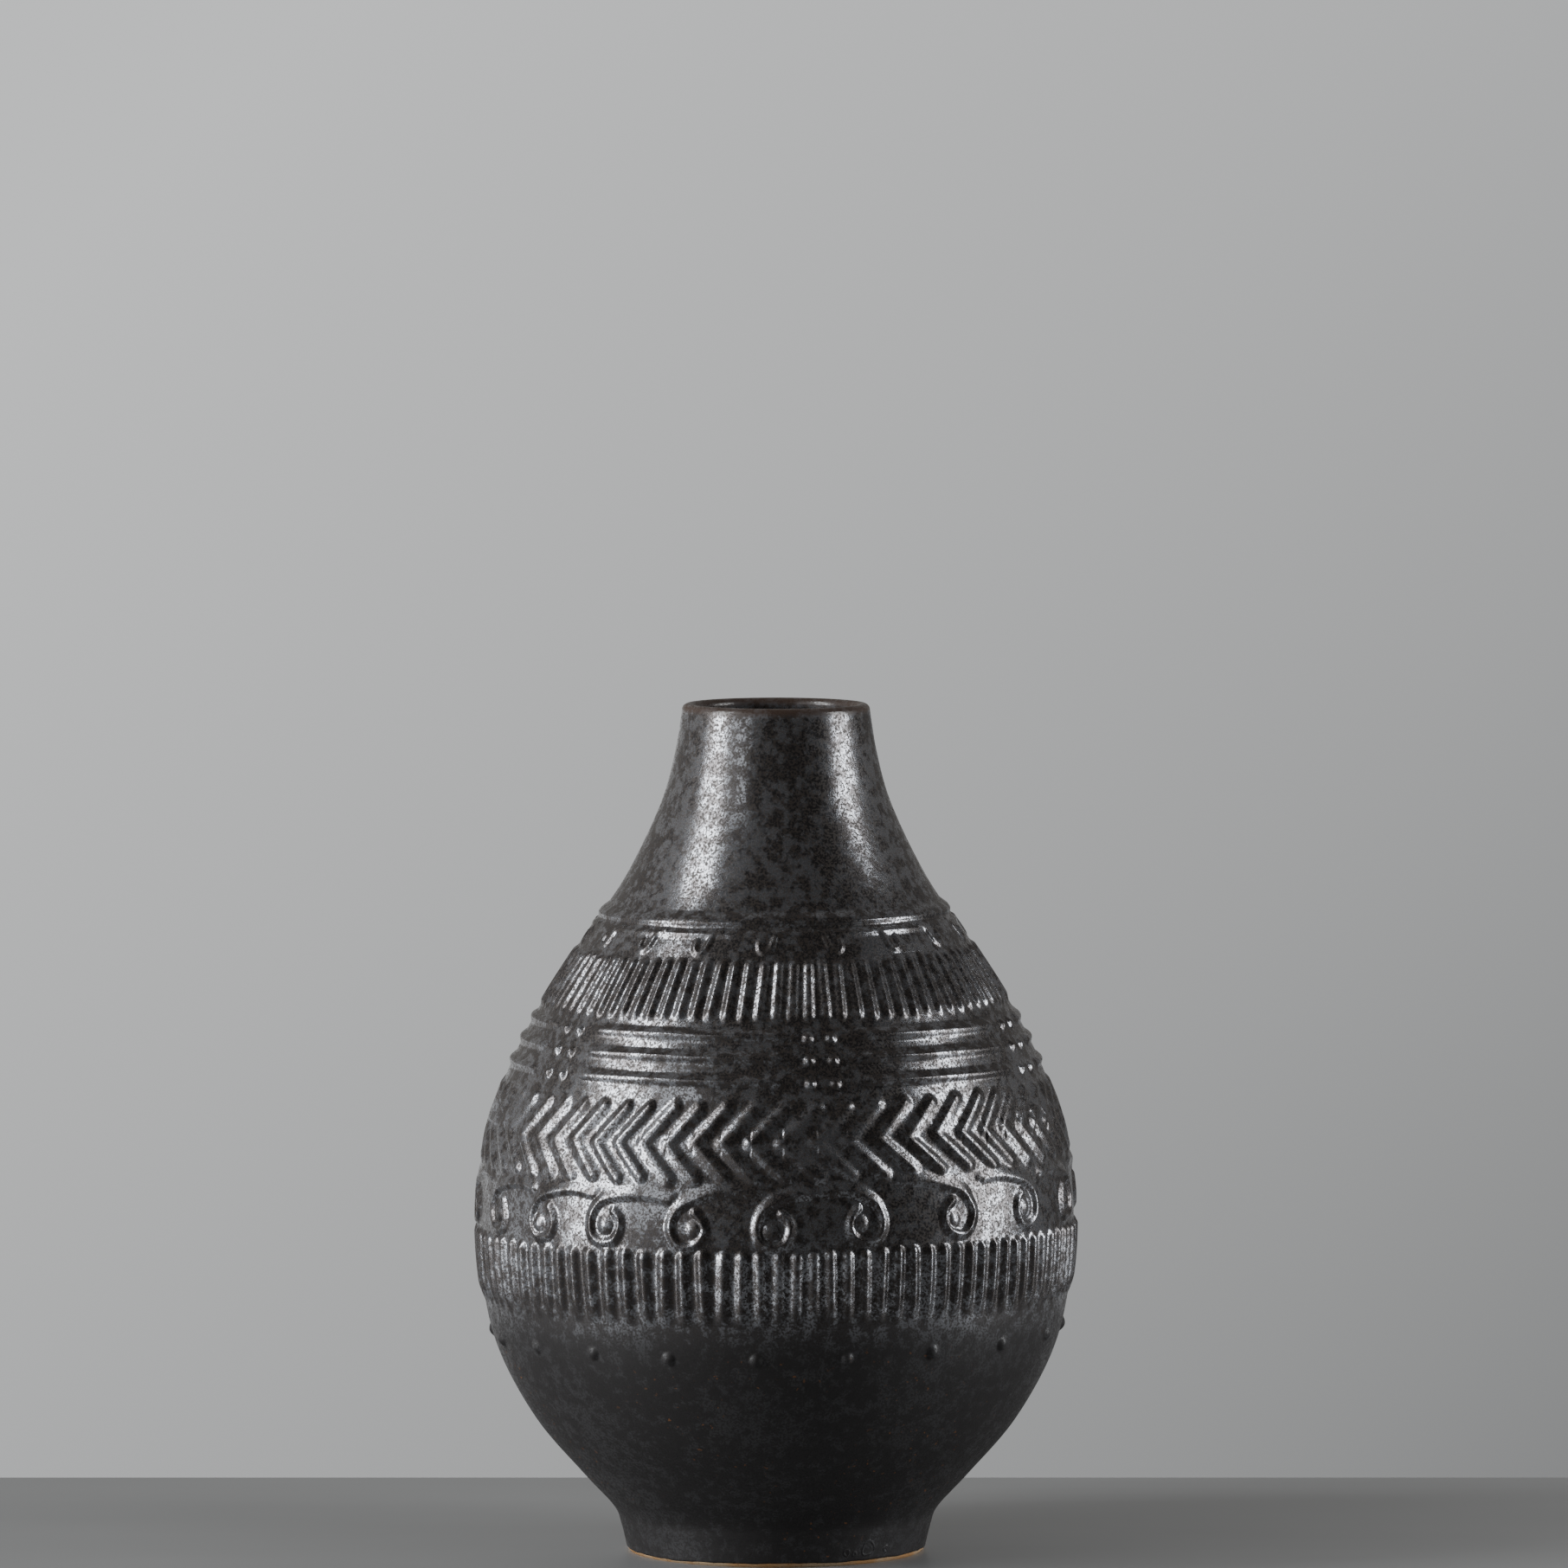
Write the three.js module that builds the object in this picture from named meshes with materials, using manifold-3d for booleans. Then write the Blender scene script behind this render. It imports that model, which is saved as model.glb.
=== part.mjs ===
// A black-glazed stoneware vase with raised ornament bands: turned foot, wide belly, narrow neck.
//
// Millimetres, +Z up. The origin is the centre of the foot's underside, and the front faces -Y.
// Angles run about +Z from the front and grow towards +X.
//
// The vessel is three thrown sections and a foot ring, luted at stepped joints. Strips of relief sit in
// shallow seats turned into the wall. Trailed scrolls and pressed dots lie directly on the wall.

import * as THREE from 'three';
import { mergeVertices } from 'three/addons/utils/BufferGeometryUtils.js';
import Module from 'manifold-3d';

const wasm = await Module();
wasm.setup();

// ---------------------------------------------------------------- driving dimensions

const HEIGHT = 340;
const BELLY_RADIUS = 119.3; // the plain wall at its widest, before any relief
const WALL = 5.2; // clay thickness, square to the surface
const GAP = 0.3; // clearance between neighbouring pieces
const ROUND = 40; // facets round a plain piece

// The outer wall from foot to lip, as shares of the belly radius and of the height.
const OUTLINE = [
  [0.499, 0],
  [0.521, 0.032],
  [0.548, 0.054],
  [0.653, 0.094],
  [0.804, 0.156],
  [0.924, 0.232],
  [0.979, 0.303],
  [1, 0.391],
  [0.976, 0.484],
  [0.898, 0.568],
  [0.789, 0.645],
  [0.642, 0.726],
  [0.508, 0.794],
  [0.39, 0.879],
  [0.339, 0.941],
  [0.312, 1],
];

// Foot and floor
const FOOT_HEIGHT = 8;
const FOOT_INNER_RADIUS = 49.5;
const FOOT_CHAMFER = 1.2;
const FLOOR_UNDERSIDE = 4.3;
const FLOOR_TOP = 10.2;
const FLOOR_CORNER = 4; // radius where the floor turns up into the wall

// Joints between the thrown sections: the lower one ends in a tongue inside the upper one
const BELLY_JOINT = 133;
const NECK_JOINT = 254.5;
const TONGUE = 4;

// Raised ring at the root of the neck
const COLLAR_Z = 257.2;
const COLLAR_WIDTH = 5;
const COLLAR_HEIGHT = 1.2;

// Relief strips: the heights between which each one's seat lies, from the lowest to the highest
const SEAT_DEPTH = 1.6;
const LOWER_RIBS = { from: 102, to: BELLY_JOINT };
const CHEVRONS = { from: 158.5, to: 190.5 };
const LINES = { from: CHEVRONS.to, to: 219.5 };
const UPPER_RIBS = { from: LINES.to, to: 244.5 };
const HOOKS = { from: UPPER_RIBS.to, to: NECK_JOINT };

// Vertical ribs. The strips were laid by hand, so their pitch drifts round the vase.
const LOWER_RIB_HEIGHT = 1.5;
const UPPER_RIB_HEIGHT = 0.8;
const RIB_END = 3.2; // length of the slope at each end of a rib
const LOWER_RIB_COUNT = 99;
const LOWER_RIB_DRIFT = 0.077;
const UPPER_RIB_COUNT = 88;
const UPPER_RIB_DRIFT = 0;

// Arrowheads that point to the left
const CHEVRON_COUNT = 60;
const CHEVRON_DRIFT = -0.07;
const CHEVRON_HEIGHT = 1;
const CHEVRON_MIDDLE = 174.5;
const CHEVRON_REACH = 14.5; // from the point to each arm's end, upwards and downwards
const CHEVRON_SWEEP = THREE.MathUtils.degToRad(6.6); // from the point to the arms' ends, sideways

// Three horizontal lines, broken by groups of two columns of dots
const LINE_HEIGHTS = [197, 206.2, 215.3];
const LINE_HALF_WIDTH = 2.8;
const LINE_RELIEF = 1.4;
const GROUP_ANGLES = [-56.7, 10.1, 70.5, 128, 188, 245];
const GROUP_HALF_WIDTH = 9; // degrees from a group's centre to the lines' full height
const GROUP_DOT = 2.7; // degrees from a group's centre to each column of dots
const DOT_FOOT = 1.9; // degrees from a dot's top to its foot
const LINE_END = 1.6; // degrees over which a line's end falls away
const LINE_SPANS = 4; // facets along the lines between two groups

// Beads of small hooks that hang from a line under the collar
const HOOK_COUNT = 18;
const HOOK_LINE_Z = 252.2;
const HOOK_BEAD_Z = 246.2;
const HOOK_BEAD_ANGLE = THREE.MathUtils.degToRad(1.8); // from a bead's top to its foot
const HOOK_RELIEF = 1;

// Trailed scrolls on the belly: an arch that runs into an open ring. They face each other where they
// change hand at the front, and turn away from each other behind.
const SCROLL_COUNT = 20;
const SCROLL_DRIFT = -0.07;
const SCROLL_START = THREE.MathUtils.degToRad(4.5);
const SCROLL_TURN = THREE.MathUtils.degToRad(8);
const SCROLL_Z = 142;
const SCROLL_RISE = 1.5; // the right-handed ones sit this much higher
const SCROLL_REACH = 26; // from a ring's middle to the far end of its arch
const SCROLL_MEETING_REACH = 15; // the same, for the two arches that meet at the front
const SCROLL_WIDTH = 4.4;
const SCROLL_RELIEF = 1.4;
const SCROLL_STEPS = 12;

// Pressed dots below the lower ribs
const DOT_COUNT = 20;
const DOT_DRIFT = -0.06;
const DOT_START = THREE.MathUtils.degToRad(-0.5);
const DOT_Z = 89.5;
const DOT_RADIUS = 2.5;
const DOT_TOP_RADIUS = 1.2;
const DOT_RELIEF = 1.5;
const DOT_SIDES = 8;

// ---------------------------------------------------------------- materials

const SMOOTH = 0.42; // roughness of the glaze where it broke over the relief
const SATIN = 0.5; // and where it lies thinner

const glaze = (roughness) =>
  new THREE.MeshStandardMaterial({ color: 0x2a282a, roughness, metalness: 0.2 });
const bareClay = () =>
  new THREE.MeshStandardMaterial({ color: 0xb07f4c, roughness: 0.9, metalness: 0 });

// ---------------------------------------------------------------- the wall's form

const outline = new THREE.SplineCurve(
  OUTLINE.map(([r, z]) => new THREE.Vector2(r * BELLY_RADIUS, z * HEIGHT)),
).getPoints(300);

function wallRadius(z) {
  const found = outline.findIndex((point) => point.y >= z);
  const upper = found < 0 ? outline.length - 1 : Math.max(found, 1);
  const [a, b] = [outline[upper - 1], outline[upper]];
  return THREE.MathUtils.mapLinear(z, a.y, b.y, a.x, b.x);
}

const wallSlope = (z) => (wallRadius(z + 1) - wallRadius(z - 1)) / 2;
const innerRadius = (z) => wallRadius(z) - WALL * Math.hypot(1, wallSlope(z));
const middleRadius = (z) => (wallRadius(z) + innerRadius(z)) / 2;

// A strip's seat is a straight cone between its two ends.
const seatRadius = ({ from, to }, z) =>
  THREE.MathUtils.mapLinear(z, from, to, wallRadius(from), wallRadius(to)) - SEAT_DEPTH;

// Heights spread evenly from one to the other, both included.
const spread = (from, to, steps) =>
  Array.from({ length: steps + 1 }, (_, i) => from + ((to - from) * i) / steps);

const outer = (z) => [wallRadius(z), z];
const inner = (z) => [innerRadius(z), z];

// ---------------------------------------------------------------- the scene's group

const vase = new THREE.Group();

const numbered = (name, index) => `${name}_${String(index + 1).padStart(2, '0')}`;

function add(name, geometry, material) {
  const mesh = new THREE.Mesh(geometry, material);
  mesh.name = name;
  vase.add(mesh);
  return mesh;
}

// ---------------------------------------------------------------- geometry helpers

// Turns a profile of [radius, z] points round +Z.
function revolve(profile, columns = ROUND) {
  const points = profile.map(([r, z]) => new THREE.Vector2(r, z));
  return new THREE.LatheGeometry(points, columns).rotateX(Math.PI / 2);
}

const closed = (profile) => [...profile, profile[0]];

function solidOf(geometry) {
  geometry.deleteAttribute('normal');
  geometry.deleteAttribute('uv');
  const merged = mergeVertices(geometry);
  return new wasm.Manifold(
    new wasm.Mesh({
      numProp: 3,
      vertProperties: merged.attributes.position.array,
      triVerts: merged.index.array,
    }),
  );
}

function geometryOf(solid) {
  const { vertProperties, triVerts } = solid.getMesh();
  const geometry = new THREE.BufferGeometry();
  geometry.setAttribute('position', new THREE.BufferAttribute(vertProperties, 3));
  geometry.setIndex(new THREE.BufferAttribute(triVerts, 1));
  geometry.computeVertexNormals();
  return geometry;
}

// An angle that drifts back and forth once round the vase, as hand-laid ornament does.
const drifted = (angle, amount) => angle + amount * Math.cos(angle);
const columnAngle = (column, columns, drift) => drifted((column / columns) * 2 * Math.PI, drift);

// A relief strip: a drum whose rings of vertices stand at the given heights, each vertex raised above
// the wall, less the cone that it is seated on.
function reliefStrip(seat, heights, columns, angleOf, reliefOf) {
  const [bottom, top] = [heights[0], heights.at(-1)];
  const profile = [[0, bottom], ...heights.map(outer), [0, top]];
  const drum = new THREE.LatheGeometry(profile.map(([r, z]) => new THREE.Vector2(r, z)), columns);
  for (let i = 0; i <= columns; i += 1) {
    heights.forEach((z, row) => {
      const angle = angleOf(i % columns, z);
      const radius = wallRadius(z) + reliefOf(i % columns, z);
      const index = i * profile.length + row + 1;
      drum.attributes.position.setXYZ(index, radius * Math.sin(angle), z, radius * Math.cos(angle));
    });
  }
  const past = 1; // the cone runs past both ends of the strip
  const coneRadius = (z) => seatRadius(seat, z) + GAP;
  const cone = revolve([
    [0, bottom - past],
    [coneRadius(bottom - past), bottom - past],
    [coneRadius(top + past), top + past],
    [0, top + past],
  ]);
  return geometryOf(solidOf(drum.rotateX(Math.PI / 2)).subtract(solidOf(cone)));
}

// The heights of a strip's two ends, clear of its neighbours.
const stripEnds = ({ from, to }) => [from + GAP / 2, to - GAP / 2];

// ---------------------------------------------------------------- thrown sections

function footRing() {
  const inside = FOOT_INNER_RADIUS;
  return revolve(
    closed([
      [inside + FOOT_CHAMFER, 0],
      [wallRadius(0) - FOOT_CHAMFER / 2, 0],
      outer(FOOT_CHAMFER),
      outer(FOOT_HEIGHT),
      [inside, FOOT_HEIGHT],
      [inside, FOOT_CHAMFER],
    ]),
  );
}

function lowerBody() {
  const underside = FOOT_HEIGHT + GAP;
  const seatStart = LOWER_RIBS.from - GAP / 2;
  const top = BELLY_JOINT - GAP / 2;
  return revolve([
    [0, FLOOR_UNDERSIDE],
    [FOOT_INNER_RADIUS - GAP, FLOOR_UNDERSIDE],
    [FOOT_INNER_RADIUS - GAP, underside],
    outer(underside),
    ...[15, 22, 32, 46, 62, 80].map(outer),
    outer(seatStart),
    [seatRadius(LOWER_RIBS, seatStart), seatStart],
    [seatRadius(LOWER_RIBS, top), top],
    [middleRadius(top), top],
    [middleRadius(top), top + TONGUE],
    inner(top + TONGUE),
    ...[114, 92, 70, 48, 30].map(inner),
    inner(FLOOR_TOP + FLOOR_CORNER),
    [innerRadius(FLOOR_TOP + FLOOR_CORNER) - FLOOR_CORNER, FLOOR_TOP],
    [0, FLOOR_TOP],
  ]);
}

function upperBody() {
  const bottom = BELLY_JOINT + GAP / 2;
  const seatStart = CHEVRONS.from - GAP / 2;
  const top = NECK_JOINT - GAP / 2;
  const grooveRadius = middleRadius(bottom) + GAP;
  return revolve(
    closed([
      [grooveRadius, bottom],
      outer(bottom),
      outer(146),
      outer(seatStart),
      [seatRadius(CHEVRONS, seatStart), seatStart],
      ...[CHEVRONS, LINES, UPPER_RIBS].map((seat) => [seatRadius(seat, seat.to), seat.to]),
      [seatRadius(HOOKS, top), top],
      [middleRadius(top), top],
      [middleRadius(top + TONGUE), top + TONGUE],
      inner(top + TONGUE),
      ...[238, 216, 190, 162].map(inner),
      inner(bottom + TONGUE),
      [grooveRadius, bottom + TONGUE],
    ]),
  );
}

function neck() {
  const bottom = NECK_JOINT + GAP / 2;
  const lipRadius = WALL / 2;
  const lipZ = HEIGHT - lipRadius;
  const lipCentre = wallRadius(lipZ) - lipRadius;
  const lip = [0.25, 0.5, 0.75].map((turn) => [
    lipCentre + lipRadius * Math.cos(turn * Math.PI),
    lipZ + lipRadius * Math.sin(turn * Math.PI),
  ]);
  return revolve(
    closed([
      [middleRadius(bottom) + GAP, bottom],
      outer(bottom),
      [wallRadius(COLLAR_Z) + COLLAR_HEIGHT, COLLAR_Z],
      outer(COLLAR_Z + COLLAR_WIDTH / 2),
      ...[275, 290, 305, 321].map(outer),
      outer(lipZ),
      ...lip,
      [lipCentre - lipRadius, lipZ],
      ...[316, 298, 280].map(inner),
      inner(bottom + TONGUE),
      [middleRadius(bottom + TONGUE) + GAP, bottom + TONGUE],
    ]),
  );
}

// ---------------------------------------------------------------- relief strips

// Ribs: every second column is a crest, at its full height between the two sloping ends. The crest has
// as many spans as it needs to follow the wall's curve.
function ribStrip(seat, count, drift, height, spans) {
  const [bottom, top] = stripEnds(seat);
  const heights = [bottom, ...spread(bottom + RIB_END, top - RIB_END, spans), top];
  const columns = 2 * count;
  return reliefStrip(
    seat,
    heights,
    columns,
    (column) => columnAngle(column, columns, drift),
    (column, z) => (column % 2 === 0 && z > bottom && z < top ? height : 0),
  );
}

function chevronStrip() {
  const [bottom, top] = stripEnds(CHEVRONS);
  const armEnd = 2.6; // length of the slope at the end of an arm
  const low = CHEVRON_MIDDLE - CHEVRON_REACH;
  const high = CHEVRON_MIDDLE + CHEVRON_REACH;
  const heights = [bottom, low + armEnd, CHEVRON_MIDDLE, high - armEnd, high, top];
  const columns = 2 * CHEVRON_COUNT;
  return reliefStrip(
    CHEVRONS,
    heights,
    columns,
    (column, z) => {
      const along = Math.min(Math.abs(z - CHEVRON_MIDDLE) / CHEVRON_REACH, 1);
      return columnAngle(column, columns, CHEVRON_DRIFT) + along * CHEVRON_SWEEP;
    },
    (column, z) => (column % 2 === 0 && z > bottom && z < high ? CHEVRON_HEIGHT : 0),
  );
}

// The columns of facets round the line and dot strip, as [degrees, what stands there].
function lineColumns() {
  return GROUP_ANGLES.flatMap((centre, i) => {
    const next = i + 1 < GROUP_ANGLES.length ? GROUP_ANGLES[i + 1] : GROUP_ANGLES[0] + 360;
    const group = [
      [-GROUP_HALF_WIDTH, 'line'],
      [LINE_END - GROUP_HALF_WIDTH, 'plain'],
      [-GROUP_DOT - DOT_FOOT, 'plain'],
      [-GROUP_DOT, 'dot'],
      [0, 'plain'],
      [GROUP_DOT, 'dot'],
      [GROUP_DOT + DOT_FOOT, 'plain'],
      [GROUP_HALF_WIDTH - LINE_END, 'plain'],
    ].map(([offset, kind]) => [centre + offset, kind]);
    const line = spread(centre + GROUP_HALF_WIDTH, next - GROUP_HALF_WIDTH, LINE_SPANS);
    return [...group, ...line.slice(0, -1).map((angle) => [angle, 'line'])];
  });
}

function lineStrip() {
  const [bottom, top] = stripEnds(LINES);
  const rows = LINE_HEIGHTS.flatMap((z) => [z - LINE_HALF_WIDTH, z, z + LINE_HALF_WIDTH]);
  const columns = lineColumns();
  return reliefStrip(
    LINES,
    [bottom, ...rows, top],
    columns.length,
    (column) => THREE.MathUtils.degToRad(columns[column][0]),
    (column, z) => (LINE_HEIGHTS.includes(z) && columns[column][1] !== 'plain' ? LINE_RELIEF : 0),
  );
}

// A line, with a bead under it at each repeat.
function hookStrip() {
  const [bottom, top] = stripEnds(HOOKS);
  const heights = [bottom, HOOK_BEAD_Z, (HOOK_BEAD_Z + HOOK_LINE_Z) / 2, HOOK_LINE_Z, top];
  const repeat = (2 * Math.PI) / HOOK_COUNT;
  const spots = [-HOOK_BEAD_ANGLE, 0, HOOK_BEAD_ANGLE, repeat / 2];
  const bead = 1; // the spot that holds the bead's top
  return reliefStrip(
    HOOKS,
    heights,
    spots.length * HOOK_COUNT,
    (column) => Math.floor(column / spots.length) * repeat + spots[column % spots.length],
    (column, z) => {
      const raised = z === HOOK_LINE_Z || (z === HOOK_BEAD_Z && column % spots.length === bead);
      return raised ? HOOK_RELIEF : 0;
    },
  );
}

// ---------------------------------------------------------------- applied scrolls and dots

// Wraps a flat piece round the wall: its x runs round the wall, its y up it and its z away from it.
function bendOnWall(flat, centreAngle, centreZ) {
  const { position } = flat.attributes;
  for (let i = 0; i < position.count; i += 1) {
    const z = centreZ + position.getY(i);
    const angle = centreAngle + position.getX(i) / BELLY_RADIUS;
    const radius = wallRadius(z) + GAP + position.getZ(i);
    position.setXYZ(i, radius * Math.sin(angle), -radius * Math.cos(angle), z);
  }
  flat.computeVertexNormals();
  return flat;
}

// A scroll laid out flat with its ring round the origin, then bent on to the wall. The arch comes in
// from one side, runs over the top of the ring, down, round and up again, and ends under itself.
// A hand of 1 has its arch on the left, and -1 on the right.
function scroll(centreAngle, centreZ, hand, reach) {
  const route = [
    [-reach, 11.5],
    [-0.7 * reach, 12.4],
    [-0.36 * reach, 11.9],
    [0, 9.6],
    [5, 6],
    [6.8, 0.6],
    [4.6, -5],
    [-0.6, -6.5],
    [-5.4, -3.8],
    [-6.2, 1.8],
    [-3.2, 5],
  ].map(([across, up]) => new THREE.Vector3(hand * across, up, 0));
  const ridge = new THREE.Shape([
    new THREE.Vector2(0, -SCROLL_WIDTH / 2),
    new THREE.Vector2(0, SCROLL_WIDTH / 2),
    new THREE.Vector2(-SCROLL_RELIEF, 0),
  ]);
  const flat = new THREE.ExtrudeGeometry(ridge, {
    steps: SCROLL_STEPS,
    extrudePath: new THREE.CatmullRomCurve3(route),
  });
  return bendOnWall(flat, centreAngle, centreZ);
}

function addScrolls() {
  const repeat = (2 * Math.PI) / SCROLL_COUNT;
  for (let i = 0; i < SCROLL_COUNT; i += 1) {
    const angle = drifted(i * repeat, SCROLL_DRIFT) + SCROLL_START;
    const pastTurn = Math.sin(angle - SCROLL_TURN);
    const hand = Math.sign(pastTurn);
    const meets = Math.cos(angle - SCROLL_TURN) > 0 && Math.abs(pastTurn) < Math.sin(repeat);
    const z = SCROLL_Z + (hand > 0 ? SCROLL_RISE : 0);
    const reach = meets ? SCROLL_MEETING_REACH : SCROLL_REACH;
    add(numbered('scroll', i), scroll(angle, z, hand, reach), glaze(SMOOTH));
  }
}

// Each dot is a low blunt cone whose axis stands square to the wall.
function addDots() {
  const outward = new THREE.Vector3(0, -1, -wallSlope(DOT_Z)).normalize();
  for (let i = 0; i < DOT_COUNT; i += 1) {
    const angle = drifted((i / DOT_COUNT) * 2 * Math.PI, DOT_DRIFT) + DOT_START;
    const dot = add(
      numbered('dot', i),
      new THREE.CylinderGeometry(DOT_TOP_RADIUS, DOT_RADIUS, DOT_RELIEF, DOT_SIDES),
      glaze(SATIN),
    );
    dot.position
      .set(0, -wallRadius(DOT_Z), DOT_Z)
      .addScaledVector(outward, GAP + DOT_RELIEF / 2);
    dot.quaternion.setFromUnitVectors(new THREE.Vector3(0, 1, 0), outward);
    const turn = new THREE.Group();
    turn.rotation.z = angle;
    turn.add(dot);
    vase.add(turn);
  }
}

// ---------------------------------------------------------------- assembly

add('foot_ring', footRing(), bareClay());
add('lower_body', lowerBody(), glaze(SATIN));
add('upper_body', upperBody(), glaze(SMOOTH));
add('neck', neck(), glaze(SMOOTH));

add(
  'lower_rib_strip',
  ribStrip(LOWER_RIBS, LOWER_RIB_COUNT, LOWER_RIB_DRIFT, LOWER_RIB_HEIGHT, 2),
  glaze(SMOOTH),
);
add('chevron_strip', chevronStrip(), glaze(SMOOTH));
add('line_and_dot_strip', lineStrip(), glaze(SMOOTH));
add(
  'upper_rib_strip',
  ribStrip(UPPER_RIBS, UPPER_RIB_COUNT, UPPER_RIB_DRIFT, UPPER_RIB_HEIGHT, 1),
  glaze(SMOOTH),
);
add('hook_strip', hookStrip(), glaze(SMOOTH));

addScrolls();
addDots();

export default vase;
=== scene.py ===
import math

import bpy
import numpy as np
from mathutils import Matrix, Vector


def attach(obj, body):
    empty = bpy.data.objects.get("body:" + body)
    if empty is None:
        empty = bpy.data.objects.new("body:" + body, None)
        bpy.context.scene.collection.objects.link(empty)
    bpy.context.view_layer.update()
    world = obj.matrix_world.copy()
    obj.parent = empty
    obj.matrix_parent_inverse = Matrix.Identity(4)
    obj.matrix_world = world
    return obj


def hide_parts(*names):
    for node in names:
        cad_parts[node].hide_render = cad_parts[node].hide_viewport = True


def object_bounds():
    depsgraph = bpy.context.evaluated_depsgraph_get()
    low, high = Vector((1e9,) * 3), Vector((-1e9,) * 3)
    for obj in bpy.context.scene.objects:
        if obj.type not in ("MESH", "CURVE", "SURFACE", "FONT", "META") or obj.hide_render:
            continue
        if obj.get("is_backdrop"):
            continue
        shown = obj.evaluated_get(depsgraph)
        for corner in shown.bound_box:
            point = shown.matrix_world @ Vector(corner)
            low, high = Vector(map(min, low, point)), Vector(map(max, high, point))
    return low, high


# A black-glazed stoneware vase with raised ornament bands. Lengths in this script are millimetres
# of the real vase, turned to metres by MM when a mesh or a lamp is made. Angles run about +Z from
# the front, which faces -Y, and grow towards +X. "Up the wall" heights are measured on the level of
# the ornament, which was laid a little off level, and level_at() turns them to real heights.

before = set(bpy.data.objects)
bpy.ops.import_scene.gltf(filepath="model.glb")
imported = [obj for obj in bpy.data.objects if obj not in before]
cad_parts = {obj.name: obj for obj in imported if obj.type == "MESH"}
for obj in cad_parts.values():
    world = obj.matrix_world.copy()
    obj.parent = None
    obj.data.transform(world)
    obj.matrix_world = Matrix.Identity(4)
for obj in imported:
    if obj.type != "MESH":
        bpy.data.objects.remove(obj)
CAD_LOW, CAD_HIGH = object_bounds()
HEIGHT = 340
MM = (CAD_HIGH.z - CAD_LOW.z) / HEIGHT
SEED = 20
rng = np.random.default_rng(SEED)

# ------------------------------------------------------------------ the wall

BELLY_RADIUS = 119.3
WALL = 5.2
FLOOR_UNDERSIDE, FLOOR_TOP = 4.3, 10.2
OUTLINE = [
    (0.499, 0), (0.521, 0.032), (0.548, 0.054), (0.653, 0.094), (0.804, 0.156), (0.924, 0.232),
    (0.979, 0.303), (1, 0.391), (0.976, 0.484), (0.898, 0.568), (0.789, 0.645), (0.642, 0.726),
    (0.508, 0.794), (0.39, 0.879), (0.339, 0.941), (0.312, 1),
]


def catmull_rom(points, steps):
    """Points along a uniform Catmull-Rom spline through the given points."""
    points = np.asarray(points, float)
    padded = np.vstack([points[0], points, points[-1]])
    t = np.linspace(0, 1, steps, endpoint=False)[:, None]
    parts = []
    for a, b, c, d in zip(padded, padded[1:], padded[2:], padded[3:]):
        parts.append(
            0.5 * (2 * b + (c - a) * t + (2 * a - 5 * b + 4 * c - d) * t**2
                   + (3 * b - a - 3 * c + d) * t**3)
        )
    return np.vstack([*parts, points[-1:]])


_line = catmull_rom(np.array(OUTLINE) * (BELLY_RADIUS, HEIGHT), 40)


def wall_radius(z):
    return np.interp(z, _line[:, 1], _line[:, 0])


def wall_slope(z):
    return (wall_radius(z + 1) - wall_radius(z - 1)) / 2


def inner_radius(z):
    return wall_radius(z) - WALL * np.hypot(1, wall_slope(z))


# How far off level the ornament was laid, as (height, rise per mm across) from foot to neck
OFF_LEVEL = 0.0122
TILT = [
    (50, 0), (90, OFF_LEVEL), (176, OFF_LEVEL), (196, 0),
    (214, 0), (224, OFF_LEVEL), (262, OFF_LEVEL), (300, 0),
]


def smooth(x, start, end):
    """0 before start, 1 after end, and a smooth step between them."""
    t = np.clip((x - start) / (end - start), 0, 1)
    return t * t * (3 - 2 * t)


def level_at(angle, up):
    """The real height of a point that stands at the given height on the ornament's own level."""
    return up + np.interp(up, *zip(*TILT)) * wall_radius(up) * np.sin(angle)


def on_level(radius, angle, up):
    """A radius given for a height on the ornament's level, kept as deep in the wall when the point
    moves to its real height."""
    return radius + wall_radius(level_at(angle, up)) - wall_radius(up)


# ------------------------------------------------------------------ relief

def ridge(distance, half_width):
    """A soft ridge: 1 on its line, falling to 0 at half_width, as glaze leaves it."""
    return np.cos(np.pi / 2 * np.clip(distance / half_width, 0, 1)) ** 2


def roof(distance, half_width, rounding=0.2):
    """A ridge with straight flanks: 1 on its line and 0 at half_width, rounded at crest and foot
    over the given share of the half width."""
    t = np.clip(distance / half_width, 0, 1)
    crest = 1 - t**2 / (2 * rounding * (1 - rounding))
    flank = (1 - t - rounding / 2) / (1 - rounding)
    foot = (1 - t) ** 2 / (2 * rounding * (1 - rounding))
    return np.where(t < rounding, crest, np.where(t < 1 - rounding, flank, foot))


def dome(distance, radius):
    """A low dome, steepest at its foot."""
    return np.clip(1 - (distance / radius) ** 2, 0, 1) ** 1.2


def to_segment(x, y, a, b):
    """Distance from points (x, y) to the segment from a to b."""
    dx, dy = b[0] - a[0], b[1] - a[1]
    t = np.clip(((x - a[0]) * dx + (y - a[1]) * dy) / (dx * dx + dy * dy), 0, 1)
    return np.hypot(x - a[0] - t * dx, y - a[1] - t * dy)


def turned(angle):
    """An angle brought between -pi and pi."""
    return (angle + math.pi) % (2 * math.pi) - math.pi


def jitter(count, amount):
    return rng.uniform(-amount, amount, count)


def laid(marks, count):
    """Turns an angle into a place along hand-laid ornament of `count` repeats, which was laid in
    lengths of uneven pitch. Each mark is (degrees, the number of the repeat that stands there)."""
    degrees, numbers = zip(*marks, (marks[0][0] + 360, marks[0][1] + count))

    def place(angle):
        start = degrees[0]
        return np.interp((np.degrees(angle) - start) % 360 + start, degrees, numbers)

    return place


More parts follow.
